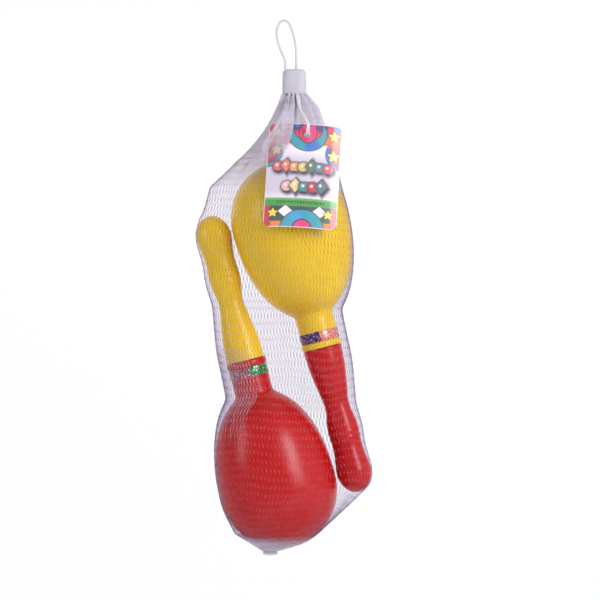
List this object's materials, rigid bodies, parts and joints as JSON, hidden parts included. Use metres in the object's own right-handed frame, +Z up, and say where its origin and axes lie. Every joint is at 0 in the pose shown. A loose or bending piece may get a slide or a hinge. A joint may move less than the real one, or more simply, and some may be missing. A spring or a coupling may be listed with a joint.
{
  "type": "pair of maracas in a net pack",
  "caption": "Pair of toy maracas head to tail in a hanging net sleeve, with a moulded cap and loop at the top, a card tied to the front and a welded lower end.",
  "frame": {"origin": "the hang point: the top of the loop's inside, where a hook bears", "axes": "+Z up as hung, +X to the right and -Y towards a viewer of the card's printed side"},
  "size_m": [0.1055, 0.0771, 0.3107],
  "materials": {
    "yellow_shell": "gloss",
    "red_shell": "gloss",
    "green_tape": "gloss",
    "purple_tape": "gloss",
    "plug": "matte",
    "pellet": "satin",
    "net": "satin",
    "net_weld": "satin",
    "hanger": "satin",
    "loop": "satin",
    "card": "gloss",
    "tie": "satin"
  },
  "bodies": {
    "pack": {"net_bag": "net", "net_seal": "net_weld", "hang_cap": "hanger", "header_card": "card", "card_tie": "tie"},
    "loop": {"hang_loop": "loop"},
    "lower_maraca": {"lower_head": "red_shell", "lower_handle": "yellow_shell", "lower_neck_plug": "plug", "lower_tape": "green_tape"},
    "upper_maraca": {"upper_head": "yellow_shell", "upper_handle": "red_shell", "upper_neck_plug": "plug", "upper_tape": "purple_tape"},
    "lower_pellets": {"lower_pellet_1": "pellet", "lower_pellet_2": "pellet", "lower_pellet_3": "pellet", "lower_pellet_4": "pellet", "lower_pellet_5": "pellet", "lower_pellet_6": "pellet", "lower_pellet_7": "pellet", "lower_pellet_8": "pellet", "lower_pellet_9": "pellet", "lower_pellet_10": "pellet"},
    "upper_pellets": {"upper_pellet_1": "pellet", "upper_pellet_2": "pellet", "upper_pellet_3": "pellet", "upper_pellet_4": "pellet", "upper_pellet_5": "pellet", "upper_pellet_6": "pellet", "upper_pellet_7": "pellet", "upper_pellet_8": "pellet", "upper_pellet_9": "pellet", "upper_pellet_10": "pellet"}
  },
  "joints": [
    {"name": "loop_fold", "type": "hinge", "parent": "pack", "child": "loop", "pos_m": [0.00405, 0, -0.0269], "axis": [1, 0, 0], "range_deg": [-85, 85], "stiffness_Nm_per_rad": 0.002},
    {"name": "lower_spin", "type": "hinge", "parent": "pack", "child": "lower_maraca", "pos_m": [0.00546, 0, -0.30414], "axis": [-0.2487, 0, 0.9686], "continuous": true},
    {"name": "upper_spin", "type": "hinge", "parent": "pack", "child": "upper_maraca", "pos_m": [-0.00546, 0, -0.08146], "axis": [-0.2487, 0, 0.9686], "continuous": true},
    {"name": "lower_rattle", "type": "slide", "parent": "lower_maraca", "child": "lower_pellets", "axis": [-0.2487, 0, 0.9686], "range_m": [0, 0.072]},
    {"name": "upper_rattle", "type": "slide", "parent": "upper_maraca", "child": "upper_pellets", "axis": [-0.2487, 0, 0.9686], "range_m": [0, 0.086]}
  ]
}
